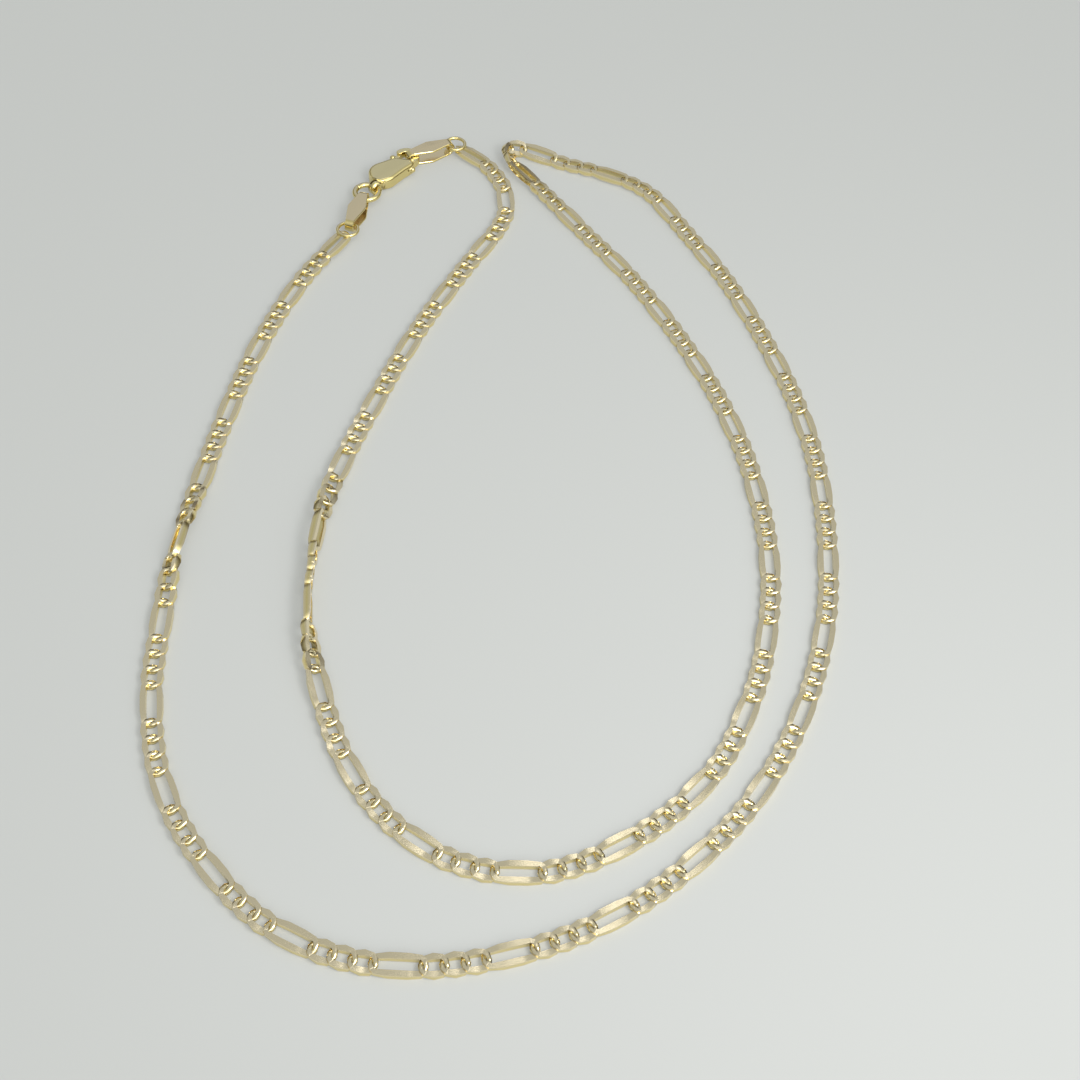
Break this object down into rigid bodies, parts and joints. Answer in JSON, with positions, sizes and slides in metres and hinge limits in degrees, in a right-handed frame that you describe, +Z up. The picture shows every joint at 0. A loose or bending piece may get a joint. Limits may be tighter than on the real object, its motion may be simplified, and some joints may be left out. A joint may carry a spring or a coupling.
{
  "type": "figaro chain necklace",
  "caption": "Fastened figaro neck chain of flat curb links, one long link between runs of short ones, with folded end tags, rings and a lobster clasp, lying in a double loop.",
  "frame": {"origin": "middle of the lying necklace's box over the surface, at the height of the surface that it lies on", "axes": "+Z up from the surface, +Y from the rounded foot of the loops to the end with the clasp, +X to the right seen from above with the clasp at the top left"},
  "size_m": [0.0746, 0.1228, 0.0027],
  "materials": {
    "chain_gold": "satin flat faces with bright edges, pale yellow gold",
    "ring_gold": "polished yellow gold",
    "tag_gold": "satin yellow gold sheet",
    "clasp_gold": "satin flat face with polished sides, yellow gold"
  },
  "bodies": {
    "necklace": {"chain_outer": "chain_gold", "chain_inner": "chain_gold", "end_ring_a": "ring_gold", "tag_a": "tag_gold", "jump_ring": "ring_gold", "clasp_body": "clasp_gold", "tag_b": "tag_gold", "end_ring_b": "ring_gold"},
    "lever": {"clasp_lever": "clasp_gold"}
  },
  "joints": [
    {"name": "lever_swing", "type": "hinge", "parent": "necklace", "child": "lever", "pos_m": [-0.02026, 0.05354, 0.00102], "axis": [0, 0, 1], "range_deg": [-18, 0], "stiffness_Nm_per_rad": 0.004, "springref_deg": 17.19}
  ]
}
